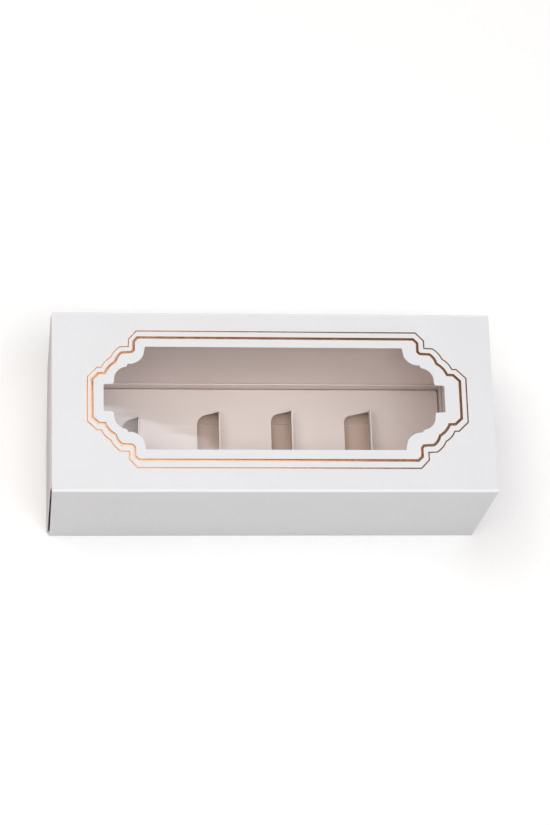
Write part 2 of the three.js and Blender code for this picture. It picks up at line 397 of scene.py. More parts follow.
def run(start, end, count, swell=0.0):
    """Points inside a straight run, without its ends, moved to the right of its way by a swell that follows
    half a sine."""
    t = np.arange(1, count) / count
    start, end = np.array(start), np.array(end)
    way = (end - start) / np.hypot(*(end - start))
    side = np.array([way[1], -way[0]])
    return start + (end - start) * t[:, None] + side * (swell * np.sin(np.pi * t))[:, None]


# Materials

class Nodes:
    """A material's node tree, with short ways to add and link nodes."""

    def __init__(self, name):
        self.material = bpy.data.materials.new(name)
        self.material.use_nodes = True
        self.tree = self.material.node_tree
        self.tree.nodes.clear()
        self.output = self.tree.nodes.new("ShaderNodeOutputMaterial")
        self.place = self.tree.nodes.new("ShaderNodeTexCoord").outputs["Object"]

    def add(self, kind, inputs=None, **settings):
        node = self.tree.nodes.new(kind)
        for key, value in settings.items():
            setattr(node, key, value)
        for key, value in (inputs or {}).items():
            if isinstance(value, bpy.types.NodeSocket):
                self.tree.links.new(value, node.inputs[key])
            else:
                node.inputs[key].default_value = value
        return node

    def noise(self, scale, detail=3.0, stretch=None, roughness=0.5):
        """Noise with so many cells per metre, longer along an axis where stretch is below 1."""
        place = self.place
        if stretch:
            place = self.add("ShaderNodeMapping", {"Vector": place, "Scale": stretch}).outputs["Vector"]
        inputs = {"Vector": place, "Scale": scale, "Detail": detail, "Roughness": roughness}
        return self.add("ShaderNodeTexNoise", inputs).outputs["Fac"]

    def ramp(self, factor, low, high):
        """Takes a noise value evenly from one number to another."""
        inputs = {"Value": factor, "From Min": 0.3, "From Max": 0.7, "To Min": low, "To Max": high}
        return self.add("ShaderNodeMapRange", inputs).outputs["Result"]

    def mix(self, factor, first, second):
        node = self.add("ShaderNodeMix", {"Factor": factor}, data_type="RGBA")
        for socket, value in ((node.inputs[6], first), (node.inputs[7], second)):
            if isinstance(value, bpy.types.NodeSocket):
                self.tree.links.new(value, socket)
            else:
                socket.default_value = value
        return node.outputs[2]

    def bump(self, height, strength, distance):
        inputs = {"Height": height, "Strength": strength, "Distance": distance}
        return self.add("ShaderNodeBump", inputs).outputs["Normal"]

    def principled(self, **inputs):
        node = self.add("ShaderNodeBsdfPrincipled", inputs)
        self.tree.links.new(node.outputs["BSDF"], self.output.inputs["Surface"])
        return node


def rgba(values, factor=1.0):
    return (*(min(1.0, v * factor) for v in values), 1.0)


def coated_board(name, base, roughness, fold_radius):
    """Clay-coated board: a faint cloudy tone, a fine grain and a satin surface."""
    nodes = Nodes(name)
    cloud = nodes.ramp(nodes.noise(60, 4.0), 0.0, 1.0)
    tone = nodes.mix(cloud, rgba(base, 0.985), rgba(base, 1.01))
    # Painted highlight: the tone is lighter along the two upper folds, in place of the light that they catch
    tone = painted_fold_highlight(nodes, tone, base, fold_radius)
    grain = nodes.noise(4200, 3.0)
    relief = nodes.bump(grain, 0.12, 0.02 * MM)
    sheen = nodes.ramp(nodes.noise(240, 3.0), roughness - 0.04, roughness + 0.04)
    nodes.principled(**{"Base Color": tone, "Roughness": sheen, "Normal": relief, "IOR": 1.45})
    return nodes.material


def plain_board(name, base, fibre=1.0):
    """Uncoated board: short fibres along the sheet, a mottled tone and a matt surface."""
    nodes = Nodes(name)
    fibres = nodes.noise(1500, 5.0, stretch=(0.25, 1.0, 1.0), roughness=0.65)
    cloud = nodes.ramp(nodes.noise(45, 4.0), 0.0, 1.0)
    speck = nodes.ramp(fibres, 0.0, 1.0)
    tone = nodes.mix(cloud, rgba(base, 0.975), rgba(base, 1.015))
    tone = nodes.mix(nodes.ramp(fibres, 0.0, 0.25 * fibre), tone, rgba(base, 0.93))
    relief = nodes.bump(speck, 0.18 * fibre, 0.03 * MM)
    nodes.principled(**{"Base Color": tone, "Roughness": 0.82, "Normal": relief})
    return nodes.material


def cut_edge(name, base):
    """The board's core where a knife went through: white, with layers along the sheet."""
    nodes = Nodes(name)
    layers = nodes.noise(2600, 4.0, stretch=(1.0, 1.0, 3.0), roughness=0.7)
    tone = nodes.mix(nodes.ramp(layers, 0.0, 1.0), rgba(base, 0.94), rgba(base, 1.03))
    relief = nodes.bump(layers, 0.3, 0.04 * MM)
    nodes.principled(**{"Base Color": tone, "Roughness": 0.9, "Normal": relief})
    return nodes.material


# The painted highlight along a fold, a lighter tone: how much the sum of height and distance from the middle
# lacks of its greatest value where it starts and where it is full, and how light it is
FOLD_HIGHLIGHT_START = 0.5 * MM
FOLD_HIGHLIGHT_FULL = 0.1 * MM
FOLD_HIGHLIGHT_GAIN = 1.19


def painted_fold_highlight(nodes, tone, base, fold_radius):
    """Paints a highlight along the two upper folds: it lightens the tone there, in place of the light that
    the folds catch. The sum of height and distance from the middle is greatest there."""
    place = nodes.add("ShaderNodeSeparateXYZ", {"Vector": nodes.place})
    sideways = nodes.add("ShaderNodeMath", {0: place.outputs["Y"]}, operation="ABSOLUTE").outputs[0]
    outwards = nodes.add("ShaderNodeMath", {0: sideways, 1: place.outputs["Z"]}, operation="ADD").outputs[0]
    fold = SLEEVE_HIGH.y + SLEEVE_HIGH.z - (2 - 2**0.5) * fold_radius
    inputs = {"Value": outwards, "From Min": fold - FOLD_HIGHLIGHT_START, "From Max": fold - FOLD_HIGHLIGHT_FULL}
    highlight_share = nodes.add("ShaderNodeMapRange", inputs).outputs["Result"]
    return nodes.mix(highlight_share, tone, rgba(base, FOLD_HIGHLIGHT_GAIN))


def copper_foil(name, base, roughness):
    """Hot-stamped foil: a metal skin that takes on the board's fine grain, with small dull patches."""
    nodes = Nodes(name)
    grain = nodes.noise(3000, 3.0)
    patch = nodes.ramp(nodes.noise(500, 4.0), roughness - 0.03, roughness + 0.05)
    tone = nodes.mix(nodes.ramp(nodes.noise(180, 3.0), 0.0, 1.0), rgba(base, 0.92), rgba(base, 1.06))
    relief = nodes.bump(grain, 0.1, 0.02 * MM)
    nodes.principled(**{"Base Color": tone, "Metallic": 0.9, "Roughness": patch, "Normal": relief})
    return nodes.material


# What both faces of the film mirror together, over what one does
FILM_MIRROR = 1.85


def clear_film(name):
    """Thin clear film: what passes goes straight through, and a share that grows at a low angle is mirrored.
    The side that a ray meets first mirrors for both sides. Faint drawn lines bend the reflection."""
    nodes = Nodes(name)
    drawn = nodes.noise(90, 2.0, stretch=(0.15, 1.0, 1.0))
    relief = nodes.bump(drawn, 0.15, 0.2 * MM)
    mirror = nodes.add("ShaderNodeBsdfGlossy", {"Roughness": 0.04, "Normal": relief})
    through = nodes.add("ShaderNodeBsdfTransparent", {"Color": (0.993, 0.993, 0.993, 1.0)})
    fresnel = nodes.add("ShaderNodeFresnel", {"IOR": 1.49, "Normal": relief}).outputs[0]
    behind = nodes.add("ShaderNodeNewGeometry").outputs["Backfacing"]
    inputs = {"Value": behind, "To Min": FILM_MIRROR, "To Max": 0.0}
    both_faces = nodes.add("ShaderNodeMapRange", inputs).outputs["Result"]
    inputs = {0: fresnel, 1: both_faces}
    mirrored = nodes.add("ShaderNodeMath", inputs, operation="MULTIPLY", use_clamp=True).outputs[0]
    both = nodes.add("ShaderNodeMixShader", {0: mirrored, 1: through.outputs[0], 2: mirror.outputs[0]})
    nodes.tree.links.new(both.outputs[0], nodes.output.inputs["Surface"])
    return nodes.material


# Sleeve

def sleeve_section(sizes, top_margin):
    """The sleeve's outer line in the (y, z) plane, from the top panel near the front, down the front wall,
    under the bottom, up the back wall and onto the top panel near the back. Straight runs join quarter arcs
    at the folds, the walls swell by half a sine, and a low ridge of half a sine's square lies beside each
    upper fold."""
    radius = sizes.fold_radius
    y0, y1, z1 = SLEEVE_LOW.y, SLEEVE_HIGH.y, SLEEVE_HIGH.z
    margin = np.linspace(0, 1, 2 * FOLD_STEPS, endpoint=False)
    front_y = y0 + top_margin - margin * (top_margin - radius)
    from_fold = (front_y - y0 - radius) / sizes.crease_width
    ridge = sizes.crease * np.sin(np.pi * np.clip(from_fold, 0, 1)) ** 2
    front_top = np.stack([front_y, z1 + ridge], 1)
    line = [
        front_top,
        quarter_turn((y0 + radius, z1 - radius), radius, 90),
        run((y0, z1 - radius), (y0, radius), PANEL_STEPS, sizes.wall_bow),
        quarter_turn((y0 + radius, radius), radius, 180),
        run((y0 + radius, 0), (y1 - radius, 0), PANEL_STEPS),
        quarter_turn((y1 - radius, radius), radius, 270),
        run((y1, radius), (y1, z1 - radius), PANEL_STEPS, sizes.wall_bow),
        quarter_turn((y1 - radius, z1 - radius), radius, 0),
        front_top[::-1] * (-1, 1),
    ]
    return np.concatenate(line)


def top_ring(window, top_margin):
    """The top panel as a ring: straight lines from each point of the window's outline to a point of the
    panel's edge. Along the long sides that point goes by the window's x, and along the short sides by the
    way along its outline."""
    count = len(window)
    right = window[:, 0] - WINDOW_CENTRE[0]
    back = window[:, 1] - WINDOW_CENTRE[1]
    half_x, half_y = abs(right[0]), abs(back[0])
    nearly, decimals = 1e-7, 9
    on_long = np.isclose(abs(back), half_y, atol=nearly)
    way = np.concatenate([[0], np.cumsum(np.hypot(*np.diff(window, axis=0).T))])
    first_end = np.flatnonzero(on_long & (right > 0) & (back < 0))[0]
    y_share = 1 - 2 * way / way[first_end]
    half_turn = np.flatnonzero(on_long & (right < 0) & (back < 0))[-1]
    y_share = np.where(right > 0, y_share, 2 * (way - way[half_turn]) / way[first_end] - 1)
    x_share = np.clip(right / half_x, -1, 1)
    edge_x = np.where(on_long, x_share, np.sign(right)) * SLEEVE_HIGH.x
    edge_y = np.where(on_long, np.sign(back), y_share) * (SLEEVE_HIGH.y - top_margin)
    edge = np.stack([edge_x, edge_y], 1)
    out = np.linspace(0, 1, TOP_ROWS)[None, :, None]
    flat = window[:, None] * (1 - out) + edge[:, None] * out
    grid = np.empty((count, out.shape[1], 3))
    grid[..., :2] = flat
    grid[..., 2] = SLEEVE_HIGH.z
    return grid, np.unique(np.round(edge_x[on_long], decimals))


def build_sleeve(sizes):
    """The printed sleeve: its section carried along the box, closed by the top panel's ring round the
    window. A margin of the top panel beside each upper fold belongs to the section."""
    top_margin = 3.2 * MM
    window = refined(fourfold(window_quarter(), WINDOW_CENTRE), OUTLINE_SPACING)
    ring, stations = top_ring(window, top_margin)
    section = sleeve_section(sizes, top_margin)
    tube = np.empty((len(section), len(stations), 3))
    tube[..., 0] = stations
    tube[..., 1:] = section[:, None]
    piece = object_from("sleeve_board", [(ring, True), (tube, False)])
    thicken(piece, sizes.board)
    return piece


def build_glue_flap(sizes):
    """The flap that holds the tube shut: a foot on the bottom panel, a quarter arc and a straight run up the
    back wall, whose ends are cut back at its tip."""
    board, foot, radius = 0.35 * MM, 3.0 * MM, 0.5 * MM
    off_wall, off_bottom = 0.02 * MM, 0.1 * MM
    end_inset, tip_inset = 1.0 * MM, 3.0 * MM
    y = SLEEVE_HIGH.y - sizes.board - off_wall
    z = SLEEVE_LOW.z + sizes.board + off_bottom
    line = np.concatenate([
        [(y - foot, z)],
        quarter_turn((y - radius, z + radius), radius, 270),
        [(y, z + sizes.glue_flap)],
    ])
    inset = np.array([end_inset] * (len(line) - 1) + [tip_inset])
    along = np.linspace(-1, 1, FLAP_STATIONS)
    grid = np.empty((len(line), len(along), 3))
    grid[..., 0] = along * (SLEEVE_HIGH.x - inset)[:, None]
    grid[..., 1:] = line[:, None]
    piece = object_from("sleeve_glue_flap", [(grid, False)])
    thicken(piece, board)
    return piece


def build_film(sizes):
    """The film: a flat sheet with slow waves, the sum of two sines of different lengths that cross."""
    x, y = np.meshgrid(
        np.linspace(FILM_LOW.x, FILM_HIGH.x, FILM_STATIONS[0]),
        np.linspace(FILM_LOW.y, FILM_HIGH.y, FILM_STATIONS[1]),
        indexing="ij",
    )
    along, bend, across, drift = 11.0 * MM, 9.0 * MM, 6.5 * MM, 31.0 * MM
    sway, second = 0.8, 0.6
    wave = np.sin(x / along + sway * np.sin(y / bend)) + second * np.sin(y / across - x / drift)
    z = FILM_HIGH.z - sizes.film_drop + sizes.film_wave * wave / (1 + second)
    piece = object_from("window_film_sheet", [(np.stack([x, y, z], -1), False)])
    thicken(piece, sizes.film)
    return piece


def build_border(name, quarter, centre, width, sizes):
    """A foil line: a low rounded section, flat on the board, carried along a closed outline."""
    line = refined(fourfold(quarter, centre), OUTLINE_SPACING)
    across = np.array([-1.0, -0.98, -0.93, -0.86, 0.0, 0.86, 0.93, 0.98, 1.0])
    up = np.array([0.0, 0.6, 0.93, 1.0, 1.0, 1.0, 0.93, 0.6, 0.0])
    sides = [mitred(line, a * width / 2) for a in across]
    grid = np.empty((len(line), len(across) + 1, 3))
    grid[:, :-1, :2] = np.stack(sides, 1)
    grid[:, :-1, 2] = SLEEVE_HIGH.z + sizes.foil_lift + sizes.foil * up
    grid[:, -1] = grid[:, 0]
    return object_from(name, [(grid, True)])


# Tray

def wall_profile(sizes):
    """A hollow wall's shown side, as depth from the outer face and height: out of the floor's fold, up the
    outer panel, over the ledge, down the inner panel and along the flange on the floor."""
    radius, inner_radius, wall = sizes.fold_radius, sizes.inner_radius, sizes.wall
    low, high = TRAY_LOW.z, TRAY_HIGH.z
    off_floor = 0.05 * MM
    flange_top = low + 2 * sizes.board + off_floor
    return np.concatenate([
        quarter_turn((radius, low + radius), radius, 270, -90),
        run((0, low + radius), (0, high - radius), OUTER_PANEL_STEPS),
        quarter_turn((radius, high - radius), radius, 180, -90),
        run((radius, high), (wall - radius, high), LEDGE_STEPS),
        quarter_turn((wall - radius, high - radius), radius, 90, -90),
        run((wall, high - radius), (wall, flange_top + inner_radius), PANEL_STEPS, -sizes.panel_bow),
        quarter_turn((wall + inner_radius, flange_top + inner_radius), inner_radius, 180, 90),
        [(wall + sizes.flange, flange_top)],
    ])


# The gap at the ends of the long walls over its nominal width, at the floor and at the ledges
GAP_AT_FLOOR = 1.15
GAP_AT_LEDGE = 0.8


def wall_sheet(profile, half_length, reach, outward, centre, stop_short, corner_gap):
    """One wall: its profile carried along its side of the tray. At each depth it is as long as the mitre to
    its two neighbours leaves it, less half of a small gap, and it stops short of its full length where
    asked."""
    depth, height = profile[:, 0], profile[:, 1]
    along = np.linspace(-1, 1, WALL_STATIONS)
    from_floor = (height - TRAY_LOW.z) / (TRAY_HIGH.z - TRAY_LOW.z)
    gap = stop_short * (GAP_AT_FLOOR + (GAP_AT_LEDGE - GAP_AT_FLOOR) * from_floor)
    half = half_length - np.maximum(depth, gap) - corner_gap / 2
    outward = np.array(outward, float)
    sideways = np.array([-outward[1], outward[0]])
    flat = (
        outward * (reach - depth)[:, None, None]
        + sideways * (half[:, None] * along)[..., None]
        + np.array(centre)
    )
    grid = np.empty((len(profile), len(along), 3))
    grid[..., :2] = flat
    grid[..., 2] = height[:, None]
    return grid[:, ::-1]


def left_end_shift(sheet, sizes):
    """How far the left end panel's points lie from their upright place: out at the bottom and in towards the
    back, which fades over the ledge."""
    on_panel = 1 - np.clip((sheet[..., 0] - TRAY_LOW.x) / sizes.wall, 0, 1)
    from_floor = (sheet[..., 2] - TRAY_LOW.z) / (TRAY_HIGH.z - TRAY_LOW.z)
    to_back = np.clip(sheet[..., 1] / TRAY_HIGH.y, 0, 1)
    return on_panel * (sizes.end_twist * to_back - sizes.end_splay * (1 - from_floor))


def near_floor(centres, normals):
    """The floor and the flanges on it, which are low and look up. They take the painted shade under the
    platform.
    """
    band = 3.0 * MM
    return (centres[:, 2] < TRAY_LOW.z + band) & (normals[:, 2] > FACING_UP)


def on_outside(centres, normals, sizes):
    """The outer panels and the ledges, which lie less than a wall's thickness from the outline, and the
    underside."""
    middle = (np.array(TRAY_LOW) + np.array(TRAY_HIGH)) / 2
    half = (np.array(TRAY_HIGH) - np.array(TRAY_LOW)) / 2
    depth = (half - np.abs(centres - middle))[:, :2].min(axis=1)
    return (depth < sizes.wall - sizes.board) | (normals[:, 2] < FACING_DOWN)


def build_tray(sizes):
    """The tray: four hollow walls, each one folded sheet, and the floor between their lower folds."""
    centre = ((TRAY_LOW.x + TRAY_HIGH.x) / 2, (TRAY_LOW.y + TRAY_HIGH.y) / 2)
    half_x, half_y = (TRAY_HIGH.x - TRAY_LOW.x) / 2, (TRAY_HIGH.y - TRAY_LOW.y) / 2
    profile = wall_profile(sizes)
    gap = sizes.corner_gap
    front = wall_sheet(profile, half_x, half_y, (0, -1), centre, sizes.end_gap, gap)
    back = wall_sheet(profile, half_x, half_y, (0, 1), centre, sizes.end_gap, gap)
    left_end = wall_sheet(profile, half_y, half_x, (-1, 0), centre, 0.0, gap)
    left_end[..., 0] += left_end_shift(left_end, sizes)
    right_end = wall_sheet(profile, half_y, half_x, (1, 0), centre, 0.0, gap)
    patches = [(wall, False) for wall in (front, back, left_end, right_end)]
    edge = sizes.fold_radius
    x, y = np.meshgrid(
        np.linspace(TRAY_LOW.x + edge, TRAY_HIGH.x - edge, TRAY_FLOOR_STATIONS[0]),
        np.linspace(TRAY_HIGH.y - edge, TRAY_LOW.y + edge, TRAY_FLOOR_STATIONS[1]),
        indexing="ij",
    )
    floor = np.stack([x, y, np.full_like(x, TRAY_LOW.z)], -1)
    floor[..., 0] += left_end_shift(floor, sizes)
    patches.append((floor, False))
    piece = object_from("tray_board", patches)
    thicken(piece, sizes.board)
    return piece


# Insert

# Each divider: place of its hinge, reach, half base, taper and corner radius, in millimetres
DIVIDERS = np.array([
    (-48.0, 7.0, 11.1, 0.8, 5.0),
    (-16.6, 9.0, 13.4, 1.3, 4.5),
    (11.8, 8.3, 13.8, 1.2, 3.5),
    (42.6, 10.2, 13.6, 1.6, 3.0),
])

# Rows of the platform between a hole and the edge of its cell, as shares of the way
CELL_ROWS = np.array([0, 0.02, 0.12, 0.35, 0.65, 1.0])


def divider_half_width(travelled, shape):
    """Half of a divider's width by the way from its hinge: a straight taper, then a quarter of a circle."""
    _, reach, half_base, taper, corner = shape * MM
    straight = half_base - taper * travelled / (reach - corner)
    into_corner = np.clip((travelled - (reach - corner)) / corner, 0, 1)
    rounded = half_base - taper - corner * (1 - np.sqrt(1 - into_corner**2))
    return np.where(travelled < reach - corner, straight, rounded)


def hole_edge(shape, hinge, bend):
    """The back edge of the hole that a divider leaves, from its left end to the hinge, with its points drawn
    together round the corner."""
    _, reach, _, _, corner = shape * MM
    straight = np.linspace(0, reach - corner, HOLE_STATIONS[0])
    round_corner = reach - corner + corner * np.sin(np.linspace(0, np.pi / 2, HOLE_STATIONS[1]))
    travelled = np.unique(np.concatenate([straight, round_corner]))
    x = hinge - travelled
    x[0] = hinge + bend
    return np.stack([x, divider_half_width(travelled, shape)], 1)[::-1]


def platform_cell(chain, left, right, half_y):
    """The platform round one hole: straight lines from the hole's outline to the cell's edge, by x along the
    cell's back and front and by y along its left and right. They start with a narrow row, which keeps the
    bend crisp."""
    side = np.linspace(-1, 1, SIDE_STATIONS)[::-1]
    right_side = np.stack([np.full_like(side, chain[-1, 0]), side * chain[-1, 1]], 1)
    left_side = np.stack([np.full_like(side, chain[0, 0]), -side * chain[0, 1]], 1)
    front = (chain * (1, -1))[::-1]
    loop = np.concatenate([chain[:-1], right_side[:-1], front[:-1], left_side[:-1]])
    x_share = (chain[:, 0] - chain[0, 0]) / (chain[-1, 0] - chain[0, 0])
    edge_x = left + (right - left) * x_share
    edge_back = np.stack([edge_x, np.full_like(edge_x, half_y)], 1)
    edge_right = np.stack([np.full_like(side, right), side * half_y], 1)
    edge_left = np.stack([np.full_like(side, left), -side * half_y], 1)
    edge_front = (edge_back * (1, -1))[::-1]
    edge = np.concatenate([edge_back[:-1], edge_right[:-1], edge_front[:-1], edge_left[:-1]])
    out = CELL_ROWS[None, :, None]
    return loop[:, None] * (1 - out) + edge[:, None] * out, edge_x


def divider_sheet(shape, hinge, sizes):
    """A divider's shown side, the one that lay uppermost: an arc out of the platform at the hinge, then
    straight up, leaning back, with its points closer towards the tip. Across, it is as wide as the hole
    that it left."""
    bend, lean, reach = sizes.bend_radius, sizes.lean, shape[1] * MM
    turn = np.pi / 2 - lean
    angle = np.linspace(0, turn, FOLD_STEPS + 1)
    arc = np.stack([hinge + bend - bend * np.sin(angle), bend * (1 - np.cos(angle))], 1)
    closer = 0.8
    rest = np.linspace(0, 1, DIVIDER_STATIONS)[1:] ** closer
    way = np.array([-np.sin(lean), np.cos(lean)])
    left = (reach - sizes.board) - arc[-1, 1] / np.cos(lean)
    straight = arc[-1] + (rest * left)[:, None] * way
    line = np.concatenate([arc, straight])
    travelled = np.concatenate([np.zeros_like(angle), (reach - left) + rest * left])
    half = divider_half_width(np.clip(travelled, 0, reach), shape)
    across = np.linspace(-1, 1, SIDE_STATIONS)[::-1]
    grid = np.empty((len(line), SIDE_STATIONS, 3))
    grid[..., 0] = line[:, :1]
    grid[..., 1] = half[:, None] * across
    grid[..., 2] = sizes.platform + line[:, 1:]
    return grid


def build_insert(sizes):
    """The insert's platform: cells with a hole and its divider folded up in each, and edges that roll down
    into legs."""
    board, radius = sizes.board, sizes.edge_radius
    x0, x1 = INSERT_LOW.x + board + sizes.groove, INSERT_HIGH.x - board - sizes.groove
    y1 = INSERT_HIGH.y - board - sizes.groove
    flat_x0, flat_x1, flat_y = x0 + radius, x1 - radius, y1 - radius
    hinges = DIVIDERS[:, 0] * MM + board
    middles = (hinges[:-1] + hinges[1:] - DIVIDERS[1:, 1] * MM) / 2
    cuts = [flat_x0, *middles, flat_x1]
    patches, stations = [], []
    for shape, hinge, left, right in zip(DIVIDERS, hinges, cuts, cuts[1:]):
        chain = hole_edge(shape, hinge, sizes.bend_radius)
        flat, edge_x = platform_cell(chain, left, right, flat_y)
        grid = np.empty((*flat.shape[:2], 3))
        grid[..., :2] = flat
        grid[..., 2] = sizes.platform
        patches.append((grid, True))
        patches.append((divider_sheet(shape, hinge, sizes), False))
        stations.append(edge_x)
    legs = np.concatenate([
        quarter_turn((0, -radius), radius, 90, -90),
        [(radius, -(sizes.platform - INSERT_LOW.z))],
    ])
    along_x = np.unique(np.concatenate(stations))
    along_y = np.linspace(-1, 1, SIDE_STATIONS) * flat_y
    patches += platform_legs(legs, along_x, along_y, (flat_x0, flat_x1), flat_y, sizes.platform)
    piece = object_from("insert_platform", patches)
    thicken(piece, board)
    return piece


def platform_legs(legs, along_x, along_y, ends, flat_y, level):
    """The platform's rolled edges and the legs below them: one profile carried along each of the four
    sides."""
    out, down = legs[:, 0], legs[:, 1]
    made = []
    for sign in (-1, 1):
        side = np.empty((len(along_x), len(legs), 3))
        side[..., 0] = along_x[:, None]
        side[..., 1] = sign * (flat_y + out)
        side[..., 2] = level + down
        made.append((side if sign > 0 else side[::-1], False))
        end = np.empty((len(along_y), len(legs), 3))
        end[..., 0] = (ends[0] - out) if sign < 0 else (ends[1] + out)
        end[..., 1] = along_y[:, None]
        end[..., 2] = level + down
        made.append((end if sign < 0 else end[::-1], False))
    return made


def build_rim(sizes):
    """The rim: an upright band round the platform, with small rounds at its corners, from the floor to past
    the platform."""
    corner = sizes.rim_corner
    x0, x1, y1 = INSERT_LOW.x, INSERT_HIGH.x, INSERT_HIGH.y
    loop = np.concatenate([
        quarter_turn((x1 - corner, y1 - corner), corner, 90, -90),
        quarter_turn((x1 - corner, -y1 + corner), corner, 0, -90),
        quarter_turn((x0 + corner, -y1 + corner), corner, 270, -90),
        quarter_turn((x0 + corner, y1 - corner), corner, 180, -90),
    ])
    levels = np.linspace(INSERT_LOW.z, sizes.platform + sizes.rim, RIM_LEVELS)
    grid = np.empty((len(loop), len(levels), 3))
    grid[..., :2] = loop[:, None]
    grid[..., 2] = levels
    piece = object_from("insert_rim", [(grid[::-1], True)])
    thicken(piece, sizes.board)
    return piece


# Operators

class MACARON_OT_sleeve(Operator):
    """Makes the printed sleeve with its window and glue flap"""

    bl_idname = "macaron_box.sleeve"
    bl_label = "Make sleeve"

    def execute(self, context):
        box = context.scene.macaron_box
        colours = box.finishes
        fold_radius = box.sleeve.fold_radius
        outside = coated_board("coated_board", colours.coated, colours.coat_roughness, fold_radius)
        inside = plain_board("plain_board", colours.plain)
        core = cut_edge("cut_board", colours.cut)
        shell = settle(build_sleeve(box.sleeve))
        dress(shell, [outside, inside, core], "sleeve", "sleeve")
        flap = settle(build_glue_flap(box.sleeve))
        dress(flap, [inside, inside, core], "sleeve", None)
        return {"FINISHED"}


class MACARON_OT_film(Operator):
    """Makes the clear film under the window"""

    bl_idname = "macaron_box.film"
    bl_label = "Make window film"

    def execute(self, context):
        film = settle(build_film(context.scene.macaron_box.sleeve))
        material = clear_film("clear_film")
        dress(film, [material, material, material], "sleeve", "window_film")
        return {"FINISHED"}


class MACARON_OT_borders(Operator):
    """Makes the two foil borders round the window"""

    bl_idname = "macaron_box.borders"
    bl_label = "Make foil borders"

    def execute(self, context):
        box = context.scene.macaron_box
        foil = copper_foil("copper_foil", box.finishes.foil, box.finishes.foil_roughness)
        sizes = box.sleeve
        inner, outer = inner_border_quarter(), outer_border_quarter()
        wide = build_border("foil_border_inner", inner, INNER_BORDER_CENTRE, sizes.wide_line, sizes)
        dress(settle(wide), [foil], "sleeve", "border_inner")
        thin = build_border("foil_border_outer", outer, OUTER_BORDER_CENTRE, sizes.thin_line, sizes)
        dress(settle(thin), [foil], "sleeve", "border_outer")
        return {"FINISHED"}


class MACARON_OT_tray(Operator):
    """Makes the tray with its four hollow walls"""

    bl_idname = "macaron_box.tray"
    bl_label = "Make tray"

    def execute(self, context):
        box = context.scene.macaron_box
        board = plain_board("tray_board", box.finishes.tray)
        # Painted shade: the floor and flanges take a darker, browner copy of the board, in place of the
        # shade under the platform
        reverse = plain_board("tray_board_reverse", box.finishes.reverse, 1.4)
        # Painted shade: the outer panels, ledges and underside take a darker copy of the board, in place of
        # the shade on the tray's outside
        outside = plain_board("tray_board_outside", box.finishes.tray_outside_shade, 0.6)
        core = cut_edge("cut_tray_board", box.finishes.cut)
        tray = settle(build_tray(box.tray))
        retone(tray, near_floor, 1)
        retone(tray, lambda centres, normals: on_outside(centres, normals, box.tray), 3)
        dress(tray, [board, reverse, core, outside], "tray", "tray")
        return {"FINISHED"}


class MACARON_OT_insert(Operator):
    """Makes the insert: platform, dividers and rim"""

    bl_idname = "macaron_box.insert"
    bl_label = "Make insert"

    def execute(self, context):
        box = context.scene.macaron_box
        board = plain_board("insert_board", box.finishes.insert)
        core = cut_edge("cut_insert_board", box.finishes.cut)
        platform = settle(build_insert(box.insert))
        dress(platform, [board, board, core], "tray", "insert")
        rim = settle(build_rim(box.insert))
        dress(rim, [board, board, core], "tray", None)
        return {"FINISHED"}


# Photo camera, in the part's own frame
CAMERA_PLACE = Vector((-95.615, -303.077, 954.002)) * MM
CAMERA_YAW = 0.309921
CAMERA_PITCH = 1.233295
CAMERA_ROLL = 0.297202
FOCAL_PIXELS = 2552.69
PHOTO_HEIGHT = 825
SENSOR = 24.0

# Softboxes: azimuth and elevation in degrees, width and height in metres, and tint
SOFTBOXES = {
    "front": (14, 60, 0.7, 0.5, (1.0, 0.91, 0.93)),
    "high": (0, 75, 0.7, 0.4, (0.93, 0.98, 1.0)),
    "right": (65, 60, 0.7, 0.7, (0.93, 0.98, 1.0)),
    "left": (285, 66, 0.7, 0.5, (1.0, 0.97, 0.93)),
    "back": (225, 61, 0.7, 0.5, (1.0, 0.99, 0.97)),
}

# The strip light overhead, which looks straight down and whose edge shows in the film
STRIP_PLACE = Vector((-0.001, 0.214, 1.2))
STRIP_BELOW = Vector((-0.001, 0.214, 0.2))
STRIP_SPIN = np.radians(-17.6)
STRIP_SIZE = (0.35, 0.3)
STRIP_TINT = (0.90, 0.94, 1.0)

# The floor: its radius, rings and spokes, how far it lies below the box, and the distances from the middle
# between which its own glow rises to full, in metres
FLOOR_RADIUS = 40.0
FLOOR_RINGS = 32
FLOOR_SPOKES = 96
FLOOR_DROP = 0.01 * MM
GLOW_START = 0.4
GLOW_FULL = 1.8

# The point that the softboxes face
LIT_POINT = (0.0, 0.0, 0.04)


def camera_matrix():
    """The camera's place and turn: ahead by yaw and pitch, then rolled about that line."""
    ahead = Vector((
        np.sin(CAMERA_YAW) * np.cos(CAMERA_PITCH),
        np.cos(CAMERA_YAW) * np.cos(CAMERA_PITCH),
        -np.sin(CAMERA_PITCH),
    ))
    right = Vector((np.cos(CAMERA_YAW), -np.sin(CAMERA_YAW), 0.0))
    up = right.cross(ahead)
    turned_right = right * np.cos(CAMERA_ROLL) + up * np.sin(CAMERA_ROLL)
    turned_up = up * np.cos(CAMERA_ROLL) - right * np.sin(CAMERA_ROLL)
    matrix = Matrix((turned_right, turned_up, -ahead)).transposed().to_4x4()
    matrix.translation = CAMERA_PLACE
    return matrix


def softbox(name, place, size, watts, tint, target=LIT_POINT, spin=0.0):
    """A rectangular light that faces a target, turned about its own axis by a spin."""
    light = bpy.data.lights.new(name, "AREA")
    light.shape = "RECTANGLE"
    light.size, light.size_y = size
    light.energy = watts
    light.color = tint
    lamp = bpy.data.objects.new(name, light)
    bpy.context.scene.collection.objects.link(lamp)
    lamp.location = place
    lamp.rotation_mode = "QUATERNION"
    towards = (Vector(place) - Vector(target)).to_track_quat("Z", "Y")
    lamp.rotation_quaternion = towards @ Quaternion((0.0, 0.0, 1.0), spin)
    return lamp


